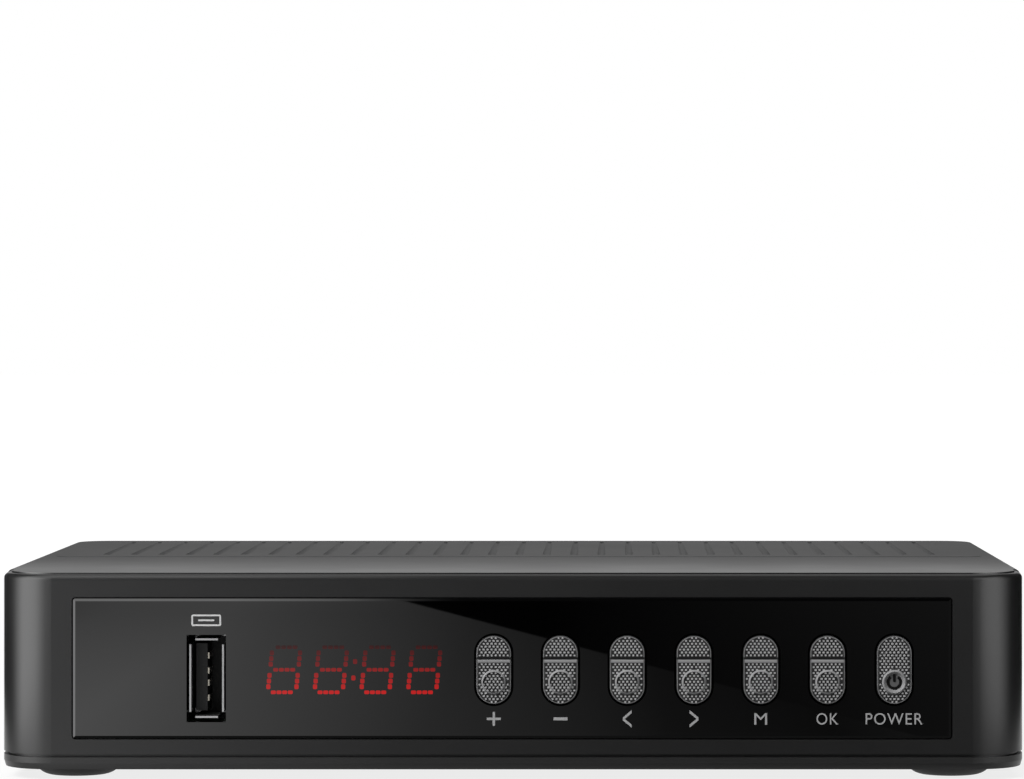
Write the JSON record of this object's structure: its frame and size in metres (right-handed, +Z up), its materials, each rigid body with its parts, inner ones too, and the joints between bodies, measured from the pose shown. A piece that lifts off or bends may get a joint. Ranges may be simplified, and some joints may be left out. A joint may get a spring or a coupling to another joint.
{
  "type": "tv decoder box",
  "caption": "Low black set-top decoder box with a smoked front window, push keys, an upright data socket, a clock display, a grooved, vented top and rear sockets.",
  "frame": {"origin": "centre of the bounding box at floor level, under the soles of the feet", "axes": "+X to the right seen from the front, +Y towards the back sockets, +Z up"},
  "size_m": [0.17, 0.1142, 0.0342],
  "materials": {
    "case_plastic": "fine-grained satin black moulding",
    "rear_plastic": "fine-grained black moulding",
    "smoked_window": "polished smoked acrylic",
    "foot_rubber": "matt rubber",
    "key_grey": "grey moulding with a fine woven texture",
    "switch_black": "moulded plastic",
    "circuit_board": "green lacquered board",
    "display_black": "black moulding",
    "display_red": "red diffusing resin",
    "eye_plastic": "dark resin",
    "ribbon_grey": "flat ribbon",
    "plug_cream": "natural moulding",
    "shell_metal": "plated sheet metal",
    "barrel_nickel": "nickel plate",
    "contact_brass": "gold-flashed brass",
    "socket_black": "moulded insulator",
    "chip_black": "moulded package",
    "cooler_metal": "extruded aluminium",
    "capacitor_sleeve": "shrink sleeve",
    "coil_grey": "moulded ferrite",
    "screw_steel": "zinc-plated steel"
  },
  "bodies": {
    "case": {"base_tray": "case_plastic", "top_cover": "case_plastic", "front_bezel": "case_plastic", "rear_panel": "rear_plastic", "front_window": "smoked_window", "foot_front_left": "foot_rubber", "foot_rear_left": "foot_rubber", "foot_front_right": "foot_rubber", "foot_rear_right": "foot_rubber", "key_switches": "switch_black", "front_board": "circuit_board", "display_housing": "display_black", "display_segments": "display_red", "remote_eye": "eye_plastic", "ribbon_cable": "ribbon_grey", "ribbon_plug_front": "plug_cream", "ribbon_plug_main": "plug_cream", "data_shell": "shell_metal", "data_insulator": "socket_black", "data_contacts": "contact_brass", "main_board": "circuit_board", "processor": "chip_black", "cooler": "cooler_metal", "memory_chip": "chip_black", "crystal": "shell_metal", "capacitors": "capacitor_sleeve", "coils": "coil_grey", "tuner_can": "shell_metal", "aerial_in_barrel": "barrel_nickel", "aerial_in_contact": "contact_brass", "aerial_out_barrel": "barrel_nickel", "aerial_out_pin": "contact_brass", "aerial_discs": "plug_cream", "picture_shell": "shell_metal", "picture_tongue": "socket_black", "sound_socket": "socket_black", "power_socket": "socket_black", "power_pin": "barrel_nickel", "case_screws": "screw_steel", "main_board_screws": "screw_steel", "front_board_screws": "screw_steel"},
    "plus_key": {"key_plus": "key_grey", "plunger_plus": "switch_black"},
    "minus_key": {"key_minus": "key_grey", "plunger_minus": "switch_black"},
    "left_key": {"key_left": "key_grey", "plunger_left": "switch_black"},
    "right_key": {"key_right": "key_grey", "plunger_right": "switch_black"},
    "menu_key": {"key_menu": "key_grey", "plunger_menu": "switch_black"},
    "ok_key": {"key_ok": "key_grey", "plunger_ok": "switch_black"},
    "power_key": {"key_power": "key_grey", "plunger_power": "switch_black"}
  },
  "joints": [
    {"name": "press_plus", "type": "slide", "parent": "case", "child": "plus_key", "axis": [0, 1, 0], "range_m": [0, 0.0003], "stiffness_N_per_m": 2500, "springref_m": -0.0001},
    {"name": "press_minus", "type": "slide", "parent": "case", "child": "minus_key", "axis": [0, 1, 0], "range_m": [0, 0.0003], "stiffness_N_per_m": 2500, "springref_m": -0.0001},
    {"name": "press_left", "type": "slide", "parent": "case", "child": "left_key", "axis": [0, 1, 0], "range_m": [0, 0.0003], "stiffness_N_per_m": 2500, "springref_m": -0.0001},
    {"name": "press_right", "type": "slide", "parent": "case", "child": "right_key", "axis": [0, 1, 0], "range_m": [0, 0.0003], "stiffness_N_per_m": 2500, "springref_m": -0.0001},
    {"name": "press_menu", "type": "slide", "parent": "case", "child": "menu_key", "axis": [0, 1, 0], "range_m": [0, 0.0003], "stiffness_N_per_m": 2500, "springref_m": -0.0001},
    {"name": "press_ok", "type": "slide", "parent": "case", "child": "ok_key", "axis": [0, 1, 0], "range_m": [0, 0.0003], "stiffness_N_per_m": 2500, "springref_m": -0.0001},
    {"name": "press_power", "type": "slide", "parent": "case", "child": "power_key", "axis": [0, 1, 0], "range_m": [0, 0.0003], "stiffness_N_per_m": 2500, "springref_m": -0.0001}
  ]
}
